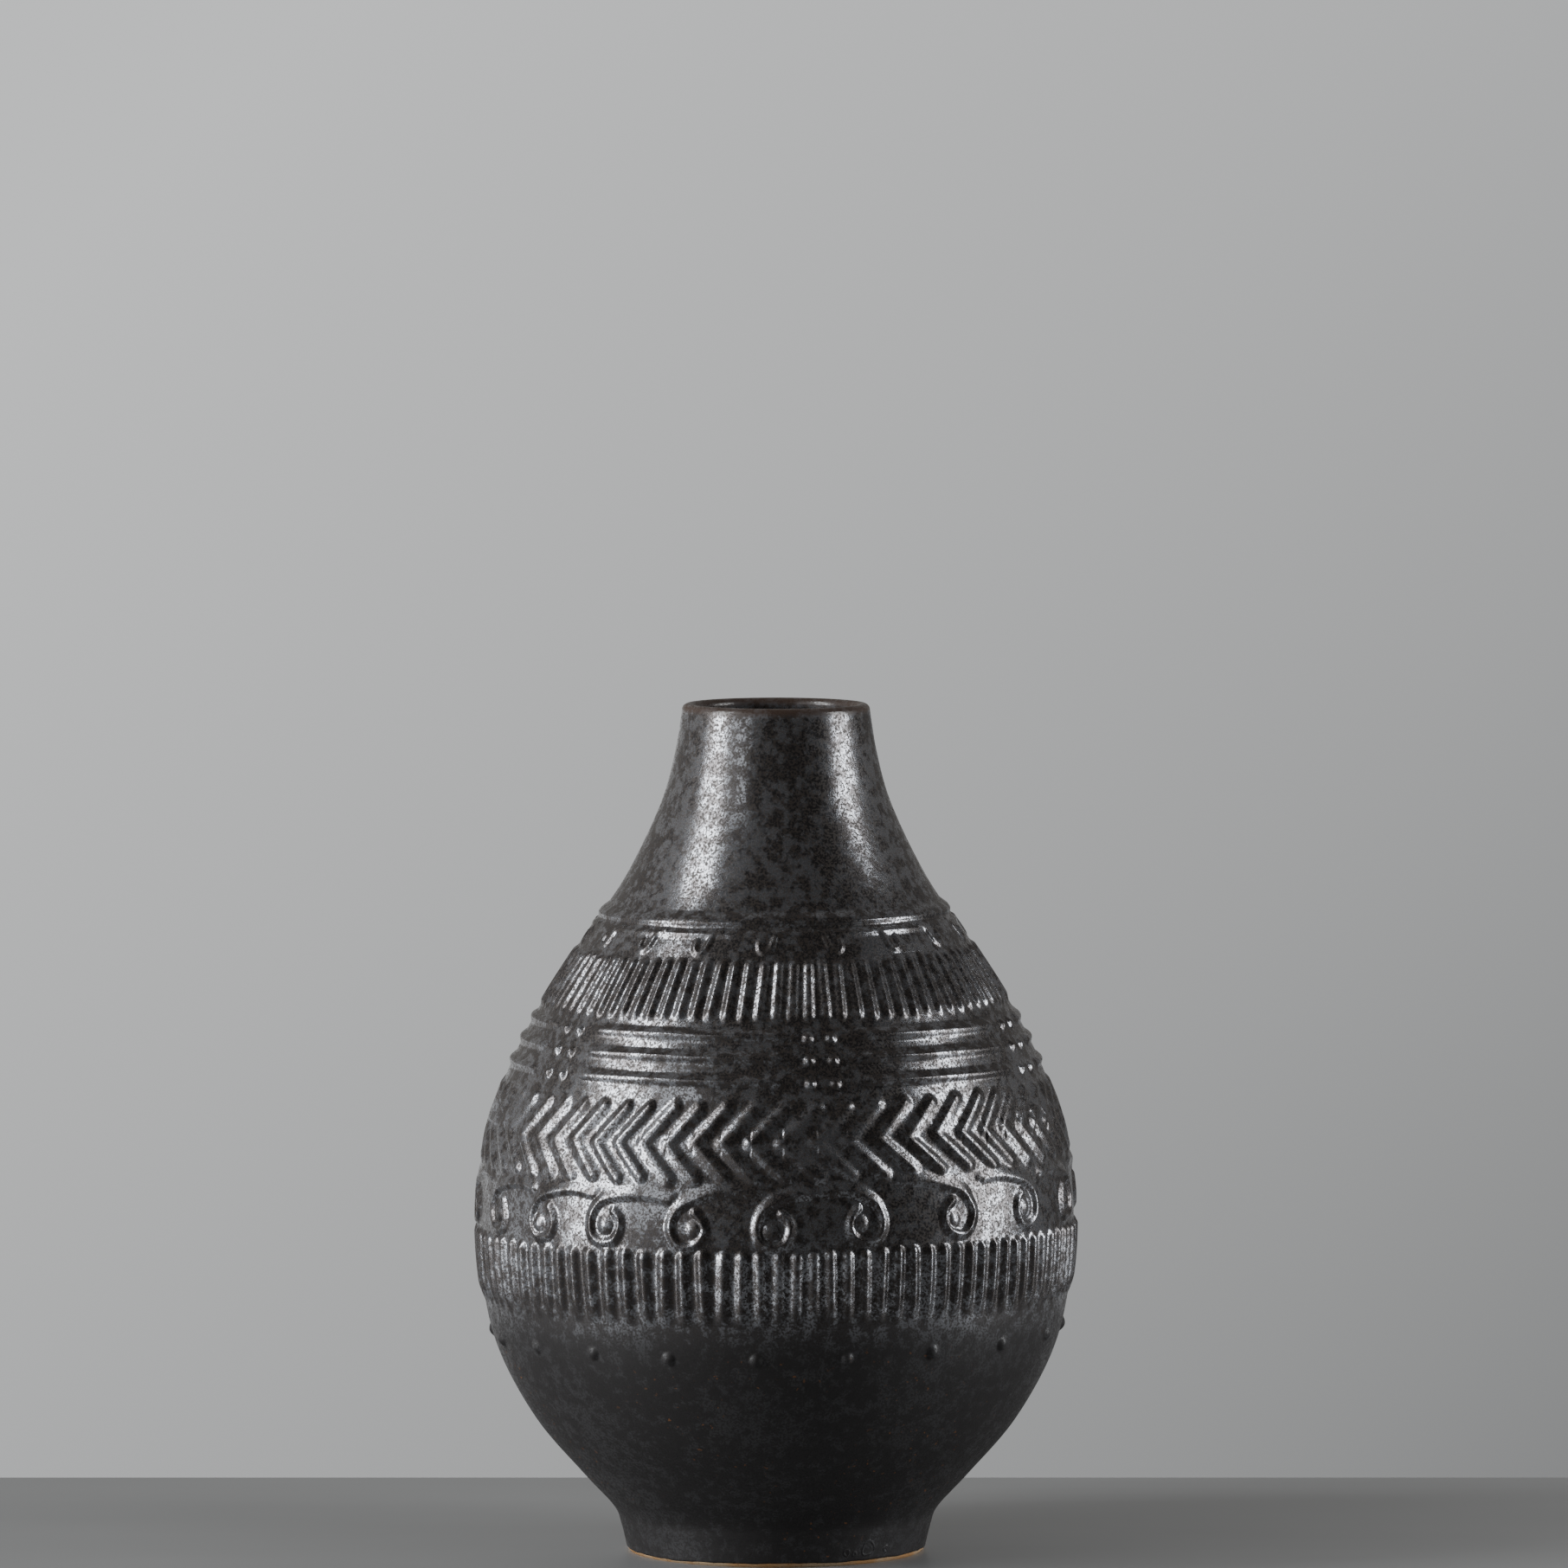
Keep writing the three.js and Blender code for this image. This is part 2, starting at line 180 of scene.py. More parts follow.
def rib_field(count, place_of, low, high, half_share, height, slant, fade):
    """Ribs between two heights, which rise from the wall over `fade` mm at their lower ends. Their
    tops lean to the right by `slant` mm for each mm up."""
    tall = height * (1 + jitter(count, 0.13))
    wide = half_share * (1 + jitter(count, 0.05))
    ends_low, ends_high = low + jitter(count, 0.5), high + jitter(count, 0.5)
    lean = jitter(count, 0.03) - slant

    def field(angle, up):
        place = place_of(angle)
        nearest = np.round(place)
        k = nearest.astype(int) % count
        pitch = 2 * math.pi / count * wall_radius(up)
        x = (place - nearest) * pitch + lean[k] * (up - (low + high) / 2)
        half = wide[k] * pitch
        y = up - np.clip(up, ends_low[k] + half, ends_high[k] - half)
        return tall[k] * ridge(np.hypot(x, y), half) * smooth(up, low - 1, low + fade)

    return field


def chevron_field(count, place_of, middle, wave, reach, sweep, half_width, height):
    """Arrowheads pointing to the left, their arms swept back to the right. Their middle line rises
    and falls twice round the vase."""
    tall = height * (1 + jitter(count, 0.1))
    wide = half_width * (1 + jitter(count, 0.08))
    shift, lift = jitter(count, 0.35), jitter(count, 0.5)
    longer = 1 + jitter(count, 0.04)
    pitch = 2 * math.pi / count * wall_radius(middle)

    def field(angle, up):
        place = place_of(angle)
        up = up - wave * np.sin(2 * angle)
        base = np.floor(place)
        found = np.zeros_like(place)
        for back in (0, 1, 2):
            nearest = base - back
            k = nearest.astype(int) % count
            x = (place - nearest) * pitch + shift[k]
            y = np.abs(up - middle - lift[k])
            arm = sweep * longer[k], reach * longer[k]
            t = np.clip((x * arm[0] + y * arm[1]) / (arm[0] ** 2 + arm[1] ** 2), 0, 1)
            gap = np.hypot(x - t * arm[0], y - t * arm[1])
            found = np.maximum(found, tall[k] * roof(gap, wide[k], 0.3))
        nearest = base + 1
        k = nearest.astype(int) % count
        x = (place - nearest) * pitch + shift[k]
        gap = np.hypot(x, up - middle - lift[k])
        return np.maximum(found, tall[k] * roof(gap, wide[k], 0.3))

    return field


def line_field(heights, groups, group_half, dot_offset, above, below, height, dot_half, dot_height):
    """Horizontal lines, steeper above than below, broken by groups of dots."""
    groups = np.radians(groups)

    def field(angle, up):
        found = np.zeros_like(up + angle)
        from_group = turned(angle[..., None] - groups)
        nearest = np.abs(from_group).argmin(-1)
        across = np.take_along_axis(from_group, nearest[..., None], -1)[..., 0]
        for z in heights:
            radius = wall_radius(z)
            line = np.where(up > z, roof(up - z, above, 0.25), roof(z - up, below, 0.3))
            # a line fades out towards the group of dots
            reach = smooth(np.degrees(np.abs(across)), group_half - 2.5, group_half + 1.5)
            found = np.maximum(found, height * line * reach)
            for side in (-1, 1):
                x = (across - side * math.radians(dot_offset)) * radius
                gap = np.hypot(x, up - z + 0.6)
                found = np.maximum(found, dot_height * roof(gap, dot_half, 0.3))
        return found

    return field


# A scroll's line: its arch, whose places across are shares of its reach, and then its ring
SCROLL_ARCH = [(-1, 12.8), (-0.7, 13.6), (-0.36, 12.6)]
SCROLL_RING = [
    (0, 10), (4.4, 7), (6.8, 1.4), (5.4, -4.2), (1, -6.8), (-4, -5.6), (-6.7, -1.2), (-6, 3.2),
    (-3.6, 6),
]
# How far each scroll's bead lies across from its ring's middle, from the front round to the right
SCROLL_BEADS = [1, -3.6, -3.4, -1.6, 0, 2, -2, 1, -3, 0, 2, -1, 3, 0, -2, 1, 0, 2.8, -0.2, -3.4]
# How far each scroll was set from its even place, in degrees
SCROLL_SHIFTS = [
    -0.9, -1.2, 0, 0.2, 0, 0.5, -0.6, 0, 0.8, 0, -0.9, 0.3, 0, 0.6, -0.4, 0, 1.6, 1.3, 0.45, 0.3,
]
SCROLL_MIDDLE, SCROLL_RISE = 141.5, 1.5
# How far a scroll's arch reaches: to the next scroll, or less where two hands meet face to face
SCROLL_REACH, MEETING_REACH = 26.5, 15
SCROLL_INSIDE, ARCH_OUTSIDE, RING_OUTSIDE = 2.5, 5.2, 3.1
SCROLL_BEAD = 4.3


def scroll_field(drift, start, turn, height):
    """Scrolls: an arch that runs over an open ring, round it and up under itself, round a bead."""
    repeat = 2 * math.pi / len(SCROLL_BEADS)
    marks = []
    for i, bead_across in enumerate(SCROLL_BEADS):
        centre = i * repeat + drift * math.cos(i * repeat) + start + math.radians(SCROLL_SHIFTS[i])
        past_turn = math.sin(centre - turn)
        hand = 1 if past_turn > 0 else -1
        meets = math.cos(centre - turn) > 0 and abs(past_turn) < math.sin(repeat)
        reach = MEETING_REACH if meets else SCROLL_REACH
        twist = rng.uniform(-0.08, 0.08)
        arch = [(x * reach, y) for x, y in SCROLL_ARCH]
        route = np.array([*arch, *SCROLL_RING], float) * (1 + rng.uniform(-0.03, 0.03))
        route += rng.uniform(-0.3, 0.3, route.shape)
        c, s = math.cos(twist), math.sin(twist)
        line = catmull_rom(route @ np.array([[c, s], [-s, c]]), 14)
        middle = SCROLL_MIDDLE + (SCROLL_RISE if hand > 0 else 0) + rng.uniform(-0.4, 0.4)
        # the arch eases into the wall above it, and the ring falls away steeply outside
        along = np.linspace(0, 1, len(line))
        outside = ARCH_OUTSIDE - (ARCH_OUTSIDE - RING_OUTSIDE) * smooth(along, 0.22, 0.4)
        share = 0.55 + 0.45 * smooth(along, 0.0, 0.3)
        bead = (bead_across, rng.uniform(-1.4, 0.6))
        tall = height * (1 + rng.uniform(-0.08, 0.08))
        marks.append((centre, hand, middle, line, outside, share, bead, tall))

    def field(angle, up):
        found = np.zeros_like(up + angle)
        for centre, hand, middle, line, outside, share, bead, tall in marks:
            x = hand * turned(angle - centre) * BELLY_RADIUS
            y = up - middle
            # no part of a scroll lies outside this box round its middle
            near = (np.abs(x) < 36) & (y > -14) & (y < 20)
            if not near.any():
                continue
            px, py = x[near], y[near]
            best = 0.8 * dome(np.hypot(px - bead[0], py - bead[1]), SCROLL_BEAD)
            for j in range(len(line) - 1):
                a, b = line[j], line[j + 1]
                gap = to_segment(px, py, a, b)
                left = (b[0] - a[0]) * (py - a[1]) - (b[1] - a[1]) * (px - a[0]) > 0
                flank = np.where(left, outside[j], SCROLL_INSIDE)
                best = np.maximum(best, share[j] * roof(gap, flank))
            found[near] = np.maximum(found[near], tall * best)
        return found

    return field


def dot_field(count, drift, start, z, half, height):
    """A row of small domes round the vase at one height."""
    places = [
        (
            i * 2 * math.pi / count + drift * math.cos(i * 2 * math.pi / count) + start,
            z + rng.uniform(-0.4, 0.4),
            half * (1 + rng.uniform(-0.12, 0.12)),
            height * (1 + rng.uniform(-0.2, 0.2)),
        )
        for i in range(count)
    ]

    def field(angle, up):
        found = np.zeros_like(up + angle)
        for centre, middle, wide, tall in places:
            gap = np.hypot(turned(angle - centre) * wall_radius(z), up - middle)
            found = np.maximum(found, tall * dome(gap, wide))
        return found

    return field


HOOK_HALF = 2.0
HOOK_ROUTE = [(-3, 3), (-2.8, 0.4), (-0.8, -1), (1.3, 0.3), (2.3, 3), (3.4, 5.6), (7, 6.8)]


def hook_field(count, start, turn, line_z, hook_z, height):
    """A fine line under the collar, and a small hook that hangs from it at each repeat."""
    repeat = 2 * math.pi / count
    line = catmull_rom(HOOK_ROUTE, 6)

    def field(angle, up):
        place = (angle - start) / repeat
        nearest = np.round(place)
        x = (place - nearest) * repeat * wall_radius(line_z)
        # left of the turn the hooks run on to the right, and right of it to the left
        x = np.where(np.sin(nearest * repeat + start - turn) > 0, -x, x)
        found = 0.8 * height * roof(np.abs(up - line_z), HOOK_HALF)
        for a, b in zip(line, line[1:]):
            gap = to_segment(x, up - hook_z, a, b)
            found = np.maximum(found, height * roof(gap, HOOK_HALF, 0.35))
        return found

    return field


COLLAR_HEIGHT = 1.2
COLLAR_STEP, COLLAR_EASE = (255.6, 257.1), (258, 262)


def collar_field(angle, up):
    """The ring at the root of the neck: a step from below, easing back to the wall above."""
    return COLLAR_HEIGHT * smooth(up, *COLLAR_STEP) * (1 - smooth(up, *COLLAR_EASE)) + 0 * angle


def blister_field(marks):
    """Rings of burst glaze near the foot, each with a bump inside. A mark is (degrees, z, size)."""
    def field(angle, up):
        found = np.zeros_like(up + angle)
        for degrees, z, size in marks:
            x = turned(angle - math.radians(degrees)) * wall_radius(z)
            gap = np.hypot(x, up - z)
            wobble = 0.12 * size * np.sin(3 * np.arctan2(up - z, x) + degrees)
            found = np.maximum(found, 0.22 * ridge(np.abs(gap - size + wobble), 0.45))
            bump = np.hypot(x - 0.4 * size, up - z - 0.2 * size)
            found = np.maximum(found, 0.2 * ridge(bump, 0.6))
        return found

    return field


# Where repeats of the ribs and arrowheads stand: hand-laid, and so closer together in some places
LOWER_RIB_COUNT, UPPER_RIB_COUNT, CHEVRON_COUNT = 99, 88, 60
LOWER_RIBS = laid(
    [(-64.8, -17), (-41.8, -11), (-29.6, -8), (-21.6, -6), (-10, -3), (0.6, 0), (13.8, 4),
     (33.7, 10), (49.2, 15), (58.5, 18)], LOWER_RIB_COUNT,
)
UPPER_RIBS = laid([(-61, -15), (0.45, 0), (37.3, 9)], UPPER_RIB_COUNT)
CHEVRONS = laid(
    [(-61.3, -10), (-49.4, -8), (-38.2, -6), (-27.3, -4), (-16.3, -2), (-4.9, 0), (1.4, 1),
     (8.1, 2), (20.5, 4), (33.6, 6), (46.4, 8)], CHEVRON_COUNT,
)
DOT_GROUPS = [-55.8, 10.1, 70.5, 128, 188, 245]  # degrees
# Left of this place round the vase scrolls and hooks run one way, and right of it the other way
TURN = math.radians(8)

FIELDS = [
    rib_field(LOWER_RIB_COUNT, LOWER_RIBS, low=101.2, high=133.9,
              half_share=0.48, height=1.65, slant=0, fade=10),
    scroll_field(drift=-0.07, start=math.radians(4.5), turn=TURN, height=1.45),
    chevron_field(CHEVRON_COUNT, CHEVRONS, middle=174.7, wave=1.0, reach=13.2, sweep=13,
                  half_width=4.2, height=1.15),
    line_field((197.6, 206.5, 214.8), DOT_GROUPS, group_half=9, dot_offset=2.7,
               above=3.5, below=2.5, height=1.5, dot_half=3.1, dot_height=1.45),
    rib_field(UPPER_RIB_COUNT, UPPER_RIBS, low=219.8, high=244.2,
              half_share=0.48, height=1.05, slant=0.07, fade=1),
    hook_field(18, start=math.radians(-42.5), turn=TURN, line_z=253.2, hook_z=247.2, height=0.75),
    dot_field(20, drift=-0.06, start=math.radians(-0.5), z=89.5, half=3.0, height=1.4),
    collar_field,
    blister_field([(37, 6.5, 2.9), (46, 5.4, 1.1), (27.5, 5.2, 1.2), (31, 4.6, 0.8)]),
]


def relief(angle, up):
    """How far the ornament stands out from the wall."""
    angle, up = np.broadcast_arrays(angle, up)
    found = np.zeros(angle.shape)
    for field in FIELDS:
        found = np.maximum(found, field(angle, up))
    return found


# ------------------------------------------------------------------ meshes

def grid_mesh(name, points, material, sharp_rows=(), crease=None):
    """A closed piece from points[column, row]: columns run round the vase, and rows round the
    piece's section. The spans after the rows in sharp_rows are flat, with creases at their edges."""
    columns, rows = points.shape[:2]
    column, row = np.meshgrid(np.arange(columns), np.arange(rows), indexing="ij")
    next_column, next_row = (column + 1) % columns, (row + 1) % rows
    quads = np.stack(
        [column * rows + row, next_column * rows + row,
         next_column * rows + next_row, column * rows + next_row], -1,
    ).reshape(-1, 4)
    mesh = bpy.data.meshes.new(name)
    mesh.vertices.add(columns * rows)
    mesh.vertices.foreach_set("co", (points * MM).astype(np.float32).ravel())
    mesh.loops.add(quads.size)
    mesh.loops.foreach_set("vertex_index", quads.ravel().astype(np.int32))
    mesh.polygons.add(len(quads))
    mesh.polygons.foreach_set("loop_start", np.arange(0, quads.size, 4, dtype=np.int32))
    flat = np.isin(row.ravel(), list(sharp_rows))
    mesh.attributes.new("sharp_face", "BOOLEAN", "FACE").data.foreach_set("value", flat)
    mesh.update(calc_edges=True)
    mesh.validate()
    if crease is not None:
        mesh.set_sharp_from_angle(angle=math.radians(crease))
    mesh.materials.append(material)
    piece = bpy.data.objects.new(name, mesh)
    bpy.context.scene.collection.objects.link(piece)
    return piece


def around(radius, z, angle):
    """Points at the given radius, height and angle about the axis."""
    return np.stack([radius * np.sin(angle), -radius * np.cos(angle), z + 0 * angle], -1)


def outer_points(angle, up):
    """Points of the finished outer surface, relief included."""
    height = relief(angle, up)
    z = level_at(angle, up)
    slope = wall_slope(z)
    length = np.hypot(1, slope)
    radius = wall_radius(z) + height / length
    return around(radius, z - height * slope / length, angle)


def columns_at(count):
    """The angles of `count` even columns, as a column vector."""
    return np.linspace(0, 2 * math.pi, count, endpoint=False)[:, None]


FINE = 1600  # columns of a piece with relief
COARSE = 400  # columns of a plain piece
SEAT_DEPTH = 1.6
HAIR = 0.02


def belt(name, low, high, step, material):
    """A closed ring of relief between two heights: its face, and its back on the wall's seat."""
    angle = columns_at(FINE)
    up = np.linspace(low, high, max(2, round((high - low) / step)) + 1)
    # a hair-thin row at each end keeps the shading of neighbouring belts alike where they meet
    up = np.concatenate([[low, low + HAIR], up[1:-1], [high - HAIR, high]])[None, :]
    face = outer_points(angle, up)
    back_up = np.array([[high, low]])
    back = around(on_level(wall_radius(back_up) - SEAT_DEPTH, angle, back_up),
                  level_at(angle, back_up), angle)
    points = np.concatenate([face, back], 1)
    return grid_mesh(name, points, material, sharp_rows=(face.shape[1] - 1, points.shape[1] - 1))


def lathe(name, profile, material, flat=()):
    """A closed piece turned from a section of (radius, height) points."""
    angle = columns_at(COARSE)
    radius, up = np.array(profile, float).T[:, None, :]
    points = around(on_level(radius, angle, up), level_at(angle, up), angle)
    return grid_mesh(name, points, material, sharp_rows=flat, crease=40)


# ------------------------------------------------------------------ materials

class Nodes:
    """A material's node tree, with short ways to add to it."""

    def __init__(self, name):
        self.material = bpy.data.materials.new(name)
        self.material.use_nodes = True
        self.tree = self.material.node_tree
        self.tree.nodes.clear()
        output = self.tree.nodes.new("ShaderNodeOutputMaterial")
        self.shader = self.tree.nodes.new("ShaderNodeBsdfPrincipled")
        self.tree.links.new(self.shader.outputs[0], output.inputs["Surface"])
        self.place = self.add("ShaderNodeTexCoord").outputs["Object"]

    def add(self, kind, **settings):
        node = self.tree.nodes.new(kind)
        for key, value in settings.items():
            setattr(node, key, value)
        return node

    def feed(self, socket, value):
        if isinstance(value, bpy.types.NodeSocket):
            self.tree.links.new(value, socket)
        else:
            socket.default_value = value

    def noise(self, size, detail, roughness, shift, stretch=(1, 1, 1)):
        """Noise whose main lumps are about `size` mm across."""
        moved = self.add("ShaderNodeMapping")
        self.feed(moved.inputs["Vector"], self.place)
        moved.inputs["Location"].default_value = (shift, shift * 0.7, -shift)
        moved.inputs["Scale"].default_value = stretch
        node = self.add("ShaderNodeTexNoise")
        self.feed(node.inputs["Vector"], moved.outputs[0])
        node.inputs["Scale"].default_value = 1 / (size * MM)
        node.inputs["Detail"].default_value = detail
        node.inputs["Roughness"].default_value = roughness
        return node.outputs["Fac"]

    def math(self, operation, *values):
        node = self.add("ShaderNodeMath", operation=operation)
        for socket, value in zip(node.inputs, values):
            self.feed(socket, value)
        return node.outputs[0]

    def step(self, value, start, end, low=0.0, high=1.0):
        """`low` where the value is under start, `high` where it is over end, and smooth between."""
        node = self.add("ShaderNodeMapRange", interpolation_type="SMOOTHSTEP")
        for key, given in zip(("Value", "From Min", "From Max", "To Min", "To Max"),
                              (value, start, end, low, high)):
            self.feed(node.inputs[key], given)
        return node.outputs["Result"]

    def mix(self, share, first, second):
        """From the first colour to the second as the share goes from 0 to 1."""
        node = self.add("ShaderNodeMix", data_type="RGBA")
        self.feed(node.inputs[0], share)
        self.feed(node.inputs[6], first)
        self.feed(node.inputs[7], second)
        return node.outputs[2]

    def blend(self, share, first, second):
        """From the first number to the second as the share goes from 0 to 1."""
        node = self.add("ShaderNodeMix", data_type="FLOAT")
        self.feed(node.inputs[0], share)
        self.feed(node.inputs[2], first)
        self.feed(node.inputs[3], second)
        return node.outputs[0]

    def height(self):
        """The height above the table, in mm of the real vase."""
        parts = self.add("ShaderNodeSeparateXYZ")
        self.feed(parts.inputs[0], self.place)
        return self.math("DIVIDE", parts.outputs["Z"], MM)

    def bump(self, *layers):
        """Stacks (height, depth in mm) layers into one normal."""
        normal = None
        for value, depth in layers:
            node = self.add("ShaderNodeBump")
            node.inputs["Distance"].default_value = depth * MM
            self.feed(node.inputs["Height"], value)
            if normal is not None:
                self.feed(node.inputs["Normal"], normal)
            normal = node.outputs[0]
        self.feed(self.shader.inputs["Normal"], normal)


def grey(value):
    return (value, value, value, 1)


STEEL = (0.285, 0.288, 0.308, 1)
BROWN = (0.094, 0.087, 0.088, 1)
PIT = (0.026, 0.018, 0.013, 1)
DRY = (0.0215, 0.0195, 0.0195, 1)
LIP_BROWN = (0.040, 0.022, 0.014, 1)
RUST = (0.16, 0.070, 0.030, 1)


def glaze_material(name):
    """A black iron glaze: steely crystals in blotches over a brown-black film, broken by fine pits,
    metallic on the shoulder and neck and drier towards the foot."""
    n = Nodes(name)
    up = n.height()
    cloud = n.noise(46, 3, 0.5, shift=3)
    blotch = n.noise(5.0, 7, 0.70, shift=1)
    grain = n.noise(0.95, 4, 0.62, shift=5)
    ripple = n.noise(3.6, 1, 0.5, shift=7)
    dry = n.step(up, 116, 90, 0.0, 1.0)  # 1 on the dry lower wall, 0 on the metallic part above
    wet = n.math("SUBTRACT", 1.0, dry)
    lip = n.step(up, 335.5, 338.5)

    lean = n.math("ADD", blotch, n.math("MULTIPLY", n.math("SUBTRACT", cloud, 0.5), 0.35))
    steel = n.step(lean, 0.46, 0.57)
    pit = n.step(grain, 0.515, 0.45)

    colour = n.mix(steel, BROWN, STEEL)
    colour = n.mix(n.math("MULTIPLY", pit, 0.9), colour, PIT)
    colour = n.mix(n.math("MULTIPLY", dry, n.blend(steel, 0.97, 0.91)), colour, DRY)
    colour = n.mix(n.math("MULTIPLY", lip, 0.85), colour, LIP_BROWN)
    rust = n.math("MULTIPLY", n.step(n.noise(2.3, 2, 0.5, shift=11), 0.68, 0.72),
                  n.step(n.noise(38, 2, 0.5, shift=13), 0.46, 0.60))
    colour = n.mix(n.math("MULTIPLY", rust, n.step(up, 100, 84)), colour, RUST)
    n.feed(n.shader.inputs["Base Color"], colour)

    metal = n.math("MULTIPLY", n.blend(pit, 0.92, 0.25), n.blend(dry, 1.0, 0.12))
    n.feed(n.shader.inputs["Metallic"], n.math("MULTIPLY", metal, n.math("SUBTRACT", 1.0, lip)))
    rough = n.math("ADD", n.blend(steel, 0.205, 0.155), n.math("MULTIPLY", pit, 0.26))
    n.feed(n.shader.inputs["Roughness"], n.math("ADD", rough, n.math("MULTIPLY", dry, 0.22)))
    n.feed(n.shader.inputs["Specular IOR Level"], n.blend(wet, 0.35, 0.5))
    n.bump((grain, 0.045), (ripple, 0.05))
    return n.material


def clay_material(name):
    """Bare stoneware, toasted from pale buff to orange where the flame reached it."""
    n = Nodes(name)
    toast = n.noise(17, 3, 0.55, shift=2)
    speck = n.noise(0.7, 3, 0.6, shift=4)
    colour = n.mix(n.step(toast, 0.38, 0.62), (0.43, 0.31, 0.19, 1), (0.40, 0.215, 0.085, 1))
    colour = n.mix(n.step(speck, 0.58, 0.70), colour, (0.12, 0.06, 0.03, 1))
    n.feed(n.shader.inputs["Base Color"], colour)
    n.feed(n.shader.inputs["Roughness"], n.step(speck, 0.3, 0.7, 0.78, 0.92))
    n.bump((speck, 0.12))
    return n.material


black_glaze = glaze_material("black_glaze")
bare_clay = clay_material("bare_stoneware")

# ------------------------------------------------------------------ the vase

# Heights where one belt of relief gives way to the next, from the dots up to the neck
DOTS_FROM, RIBS_FROM, SCROLLS_FROM, CHEVRONS_FROM = 84, 102, 133, 158.5
LINES_FROM, UPPER_RIBS_FROM, HOOKS_FROM, NECK_FROM = 190.5, 219.5, 244.5, 254.5


def keep(piece, nodes):
    """Hands a finished piece to the frame, in place of the given nodes."""
    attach(piece, "root")
    if nodes:
        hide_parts(*nodes)


def named(prefix):
    return [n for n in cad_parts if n.startswith(prefix)]


BELTS = [
    ("dot_belt", DOTS_FROM, RIBS_FROM, 0.55, named("dot_")),
    ("lower_rib_belt", RIBS_FROM, SCROLLS_FROM, 0.8, ["lower_rib_strip"]),
    ("scroll_belt", SCROLLS_FROM, CHEVRONS_FROM, 0.45, named("scroll_")),
    ("chevron_belt", CHEVRONS_FROM, LINES_FROM, 0.65, ["chevron_strip"]),
    ("line_belt", LINES_FROM, UPPER_RIBS_FROM, 0.55, ["line_and_dot_strip"]),
    ("upper_rib_belt", UPPER_RIBS_FROM, HOOKS_FROM, 0.8, ["upper_rib_strip"]),
    ("hook_belt", HOOKS_FROM, NECK_FROM, 0.45, ["hook_strip"]),
]
for name, low, high, step, nodes in BELTS:
    keep(belt(name, low, high, step, black_glaze), nodes)


def rows(function, heights):
    """Section points whose radius is a function of their height."""
    return [(float(function(z)), float(z)) for z in heights]


def seat_end(z):
    """A corner of the wall under the belts: their seat there, clear of their backs."""
    return (float(wall_radius(z)) - SEAT_DEPTH - 0.05, z)


FOOT_HEIGHT = 8
FOOT_SKIN_TOP = 12.5
FOOT_INNER_RADIUS = 50.7  # on the table, and FOOT_BORE above its small bevel
FOOT_BORE = 49.5
FLOOR_RADIUS = 49.2  # of the floor's underside, inside the foot ring
SKIN = 0.3  # thickness of the glaze on the foot
CLAY_RADIUS_LOSS = SKIN + 0.05
AXIS = 0.01  # the smallest radius of a floor's middle
CORNER_START = 14.2  # the height where the inside turns in towards the floor

# Neck: collar, wall, rounded lip and inside
LIP = WALL / 2
lip_z = HEIGHT - LIP
lip_centre = float(wall_radius(lip_z)) - LIP
lip = [
    (lip_centre + LIP * math.cos(t), lip_z + LIP * math.sin(t))
    for t in np.linspace(0, math.pi, 15)[1:]
]
angle = columns_at(COARSE)
neck_up = np.concatenate(
    [[NECK_FROM, NECK_FROM + HAIR], np.linspace(254.8, 262.6, 30), np.linspace(264, lip_z, 60)]
)[None, :]
neck_face = outer_points(angle, neck_up)
inside = lip + rows(inner_radius, np.linspace(334, NECK_FROM, 40))
inside_radius, inside_up = np.array(inside).T[:, None, :]
neck_inside = around(
    on_level(inside_radius, angle, inside_up), level_at(angle, inside_up), angle
)
neck_points = np.concatenate([neck_face, neck_inside], 1)
last_row = neck_points.shape[1] - 1
keep(grid_mesh("neck", neck_points, black_glaze, sharp_rows=(last_row,)), ["neck"])

# Upper wall: the inside, and the seats that the belts lie on
upper_seats = (SCROLLS_FROM, CHEVRONS_FROM, LINES_FROM, UPPER_RIBS_FROM, HOOKS_FROM, NECK_FROM)
upper_profile = (
    [seat_end(z) for z in upper_seats] + rows(inner_radius, np.linspace(NECK_FROM, SCROLLS_FROM, 50))
)
upper_flats = (len(upper_seats) - 1, len(upper_profile) - 1)
keep(lathe("upper_wall", upper_profile, black_glaze, flat=upper_flats), ["upper_body"])

# Lower wall: glazed outside, floor and inside, under the dot and rib belts' seats
corner_radius = float(inner_radius(CORNER_START))
lower_profile = (
    [(AXIS, FLOOR_UNDERSIDE), (FLOOR_RADIUS, FLOOR_UNDERSIDE), (FLOOR_RADIUS, FOOT_HEIGHT + 0.05)]
    + [(r - CLAY_RADIUS_LOSS, z) for r, z in rows(wall_radius, (FOOT_HEIGHT + 0.05, FOOT_SKIN_TOP))]
    + rows(wall_radius, [FOOT_SKIN_TOP, FOOT_SKIN_TOP + HAIR, *np.linspace(13.5, 30, 14)])
    + rows(wall_radius, [*np.linspace(32, DOTS_FROM - 1, 30), DOTS_FROM - HAIR, DOTS_FROM])
    + [seat_end(z) for z in (DOTS_FROM, RIBS_FROM, SCROLLS_FROM)]
    + rows(inner_radius, np.linspace(SCROLLS_FROM, 15, 44))
    + [(corner_radius - 1.2, FLOOR_TOP + 1.2), (corner_radius - 4, FLOOR_TOP), (AXIS, FLOOR_TOP)]
)
keep(lathe("lower_wall", lower_profile, black_glaze), ["lower_body"])

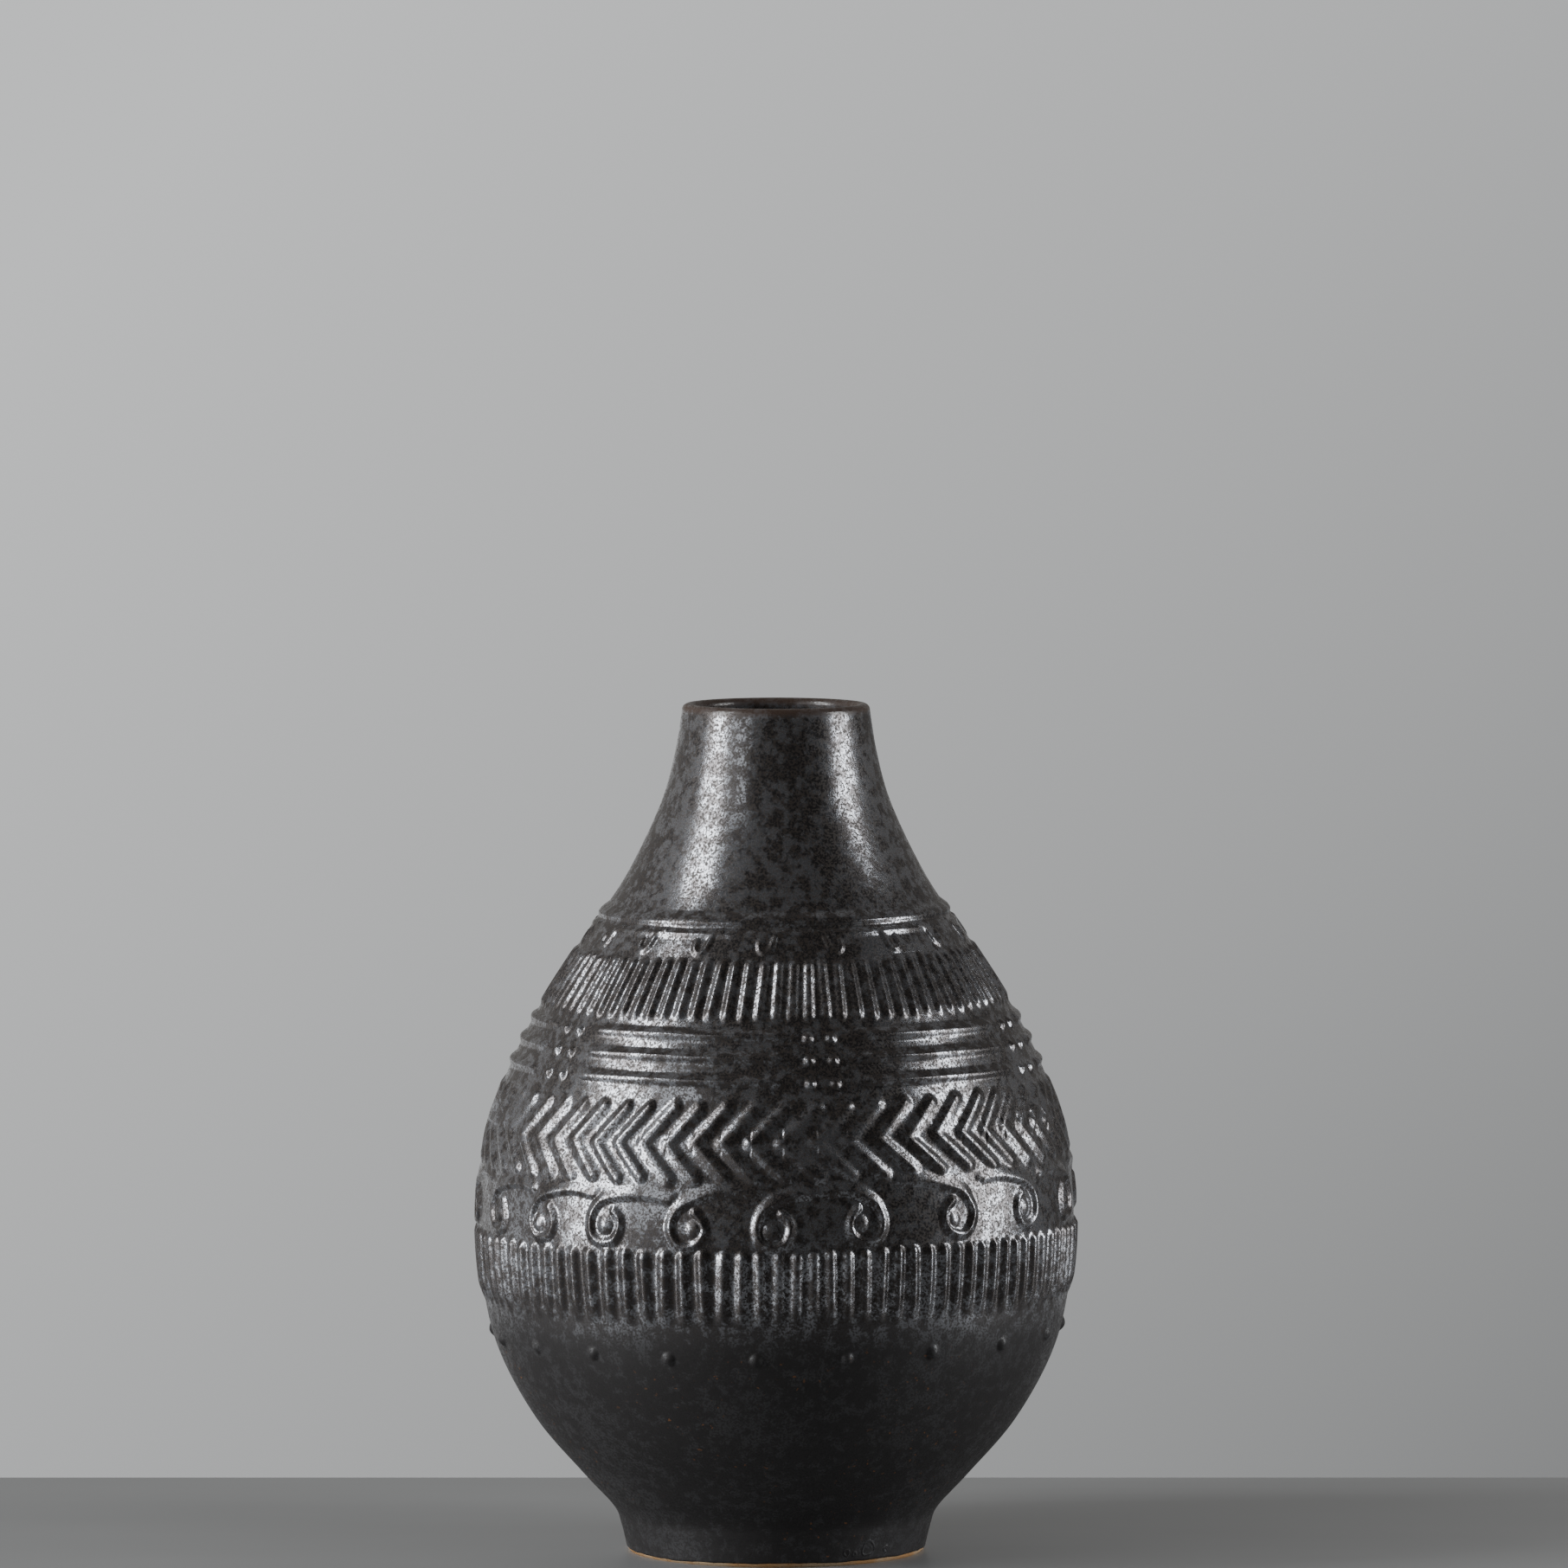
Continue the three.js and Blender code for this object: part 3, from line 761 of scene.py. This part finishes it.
# Foot: a bare clay ring, and the skin of glaze that runs down over it and stops short of the table
rim = float(wall_radius(0))
foot_profile = (
    [(FOOT_INNER_RADIUS, 0), (rim - 0.9, 0), (rim - CLAY_RADIUS_LOSS, 0.55)]
    + [(r - CLAY_RADIUS_LOSS, z) for r, z in rows(wall_radius, np.linspace(0.9, FOOT_HEIGHT, 7))]
    + [(FOOT_BORE, FOOT_HEIGHT), (FOOT_BORE, 1.2)]
)
keep(lathe("foot", foot_profile, bare_clay), ["foot_ring"])


def glaze_edge(angle):
    """The height at which the glaze stops above the table: each wave is (size, times, start)."""
    waves = [(0.28, 2, 0.6), (0.16, 5, 2.1), (0.10, 11, 0.3), (0.07, 23, 1.7), (0.05, 41, 4.0)]
    return 1.45 + sum(size * np.sin(times * angle + start) for size, times, start in waves)


def foot_glaze():
    """The skin of glaze on the foot, from its uneven lower edge to the lower wall."""
    angle = columns_at(FINE)
    edge = glaze_edge(angle)
    share = np.append(np.linspace(0, 0.998, 34), 1)[None, :]
    z = edge + (FOOT_SKIN_TOP - edge) * share
    # the glaze thins to a round bead at its lower edge
    thickness = SKIN * np.sqrt(np.clip((z - edge) / 0.5, 0.04, 1))
    radius = wall_radius(z) - SKIN + thickness + relief(angle, z)
    face = around(radius, z, angle)
    back_z = z[:, ::-8]
    back = around(wall_radius(back_z) - SKIN, back_z, angle)
    points = np.concatenate([face, back], 1)
    return grid_mesh("foot_glaze", points, black_glaze, sharp_rows=(share.shape[1] - 1,))


keep(foot_glaze(), [])

# ------------------------------------------------------------------ floor, lamps and camera

def plane(name, corners, material):
    """A flat sheet that belongs to the set, not to the vase, with its four corners in metres."""
    mesh = bpy.data.meshes.new(name)
    mesh.from_pydata(corners, [], [(0, 1, 2, 3)])
    mesh.materials.append(material)
    sheet = bpy.data.objects.new(name, mesh)
    bpy.context.scene.collection.objects.link(sheet)
    sheet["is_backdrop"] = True


def floor_material():
    n = Nodes("floor_grey")
    streaks = n.noise(60, 4, 0.55, shift=1, stretch=(0.35, 1, 1))
    n.feed(n.shader.inputs["Base Color"], n.mix(streaks, grey(0.23), grey(0.27)))
    n.shader.inputs["Roughness"].default_value = 0.42
    return n.material


def glowing_backdrop_material():
    """A pale backdrop that glows: painted light standing in for a lit wall, its glow falling off
    towards the right and towards the table.
    """
    n = Nodes("backdrop_glow")
    place = n.add("ShaderNodeSeparateXYZ")
    n.feed(place.inputs[0], n.place)
    loss = n.math("MULTIPLY_ADD", place.outputs["X"], FALL_RIGHT, FALL_DOWN)
    loss = n.math("DIVIDE", loss, n.math("ADD", place.outputs["Y"], CAMERA_DISTANCE))
    light = n.math("MINIMUM", n.math("SUBTRACT", BACKDROP_LIGHT, loss), 0.72)
    # the backdrop's brightness is painted light: it glows, though it is no lamp
    n.feed(n.shader.inputs["Emission Strength"], n.math("MAXIMUM", light, 0.12))
    n.shader.inputs["Emission Color"].default_value = (0.985, 1, 1.01, 1)
    n.shader.inputs["Base Color"].default_value = (0, 0, 0, 1)
    n.shader.inputs["Specular IOR Level"].default_value = 0
    return n.material


CAMERA_DISTANCE = 5.0
BACKDROP_LIGHT, FALL_RIGHT, FALL_DOWN = 0.665, 2.05, 1.45
BACK = 0.224  # where the table ends and the backdrop begins
FAR = 150
plane("floor", [(-FAR, -FAR, 0), (FAR, -FAR, 0), (FAR, BACK, 0), (-FAR, BACK, 0)],
      floor_material())
# the backdrop sheet glows as painted light, in place of a lit pale wall
plane("backdrop", [(-FAR, BACK, 0), (FAR, BACK, 0), (FAR, FAR, 0), (-FAR, FAR, 0)],
      glowing_backdrop_material())

LAMP_COLOUR = (0.95, 0.98, 1.0)


def softbox(name, centre, facing, lean, width, height, radiance):
    """A tall lamp at `centre` that shines along `facing` (level), its top leaning by `lean` degrees
    towards +Y. Its radiance is what a camera would see on its face."""
    light = bpy.data.lights.new(name, "AREA")
    light.shape = "RECTANGLE"
    light.size, light.size_y = width, height
    light.color = LAMP_COLOUR
    light.energy = radiance * math.pi * width * height
    found = bpy.data.objects.new(name, light)
    bpy.context.scene.collection.objects.link(found)
    back = -Vector(facing).normalized()
    side = Vector((0, 0, 1)).cross(back).normalized()
    turn = math.radians(lean)
    upward = Vector((0, 0, 1)) * math.cos(turn) + side * math.sin(turn) * (1 if side.y > 0 else -1)
    across = upward.cross(back)
    found.matrix_world = Matrix((
        (across.x, upward.x, back.x, centre[0]),
        (across.y, upward.y, back.y, centre[1]),
        (across.z, upward.z, back.z, centre[2]),
        (0, 0, 0, 1),
    ))
    found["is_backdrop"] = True


softbox("left_softbox", (-1.3, -0.40, 0.87), facing=(1, 0, 0), lean=2,
        width=0.60, height=1.70, radiance=11.0)
softbox("right_softbox", (1.3, -0.13, 0.55), facing=(-1, 0, 0), lean=-9,
        width=0.52, height=1.08, radiance=9.0)
softbox("fill", (-1.2, -1.26, 0.85), facing=(0.70, 0.71, 0), lean=0,
        width=0.70, height=1.6, radiance=1.2)

world = bpy.data.worlds.new("studio")
bpy.context.scene.world = world
world.use_nodes = True
sky = world.node_tree
background = sky.nodes["Background"]
direction = sky.nodes.new("ShaderNodeSeparateXYZ")
sky.links.new(sky.nodes.new("ShaderNodeTexCoord").outputs["Generated"], direction.inputs[0])


def sky_range(axis, *ends):
    """The light along one axis of the sky, from ends of (from min, from max, to min, to max)."""
    node = sky.nodes.new("ShaderNodeMapRange")
    sky.links.new(direction.outputs[axis], node.inputs["Value"])
    for key, given in zip(("From Min", "From Max", "To Min", "To Max"), ends):
        node.inputs[key].default_value = given
    return node.outputs["Result"]


# pale behind the vase and dim in front of it, and less on the right than on the left
strength = sky.nodes.new("ShaderNodeMath")
strength.operation = "MULTIPLY"
sky.links.new(sky_range("Y", -0.15, 0.45, 0.105, 0.345), strength.inputs[0])
sky.links.new(sky_range("X", -1, 1, 1.1, 0.34), strength.inputs[1])
sky.links.new(strength.outputs[0], background.inputs["Strength"])
background.inputs["Color"].default_value = (1.0, 0.98, 0.95, 1)

CAMERA_HEIGHT = 0.666
AIM = Vector((0.0032, 0, 0.3076))
SENSOR = 36
PICTURE_WIDTH = 1812 / 2891  # metres across the picture at the vase
camera_data = bpy.data.cameras.new("camera")
camera_data.sensor_width = SENSOR
camera_data.lens = SENSOR * math.hypot(CAMERA_DISTANCE, CAMERA_HEIGHT - AIM.z) / PICTURE_WIDTH
camera_data.clip_end = 2 * FAR
camera = bpy.data.objects.new("camera", camera_data)
bpy.context.scene.collection.objects.link(camera)
camera.location = (AIM.x, -CAMERA_DISTANCE, CAMERA_HEIGHT)
camera.rotation_mode = "QUATERNION"
camera.rotation_quaternion = (AIM - camera.location).to_track_quat("-Z", "Y")
bpy.context.scene.camera = camera

# ------------------------------------------------------------------ done

low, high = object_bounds()
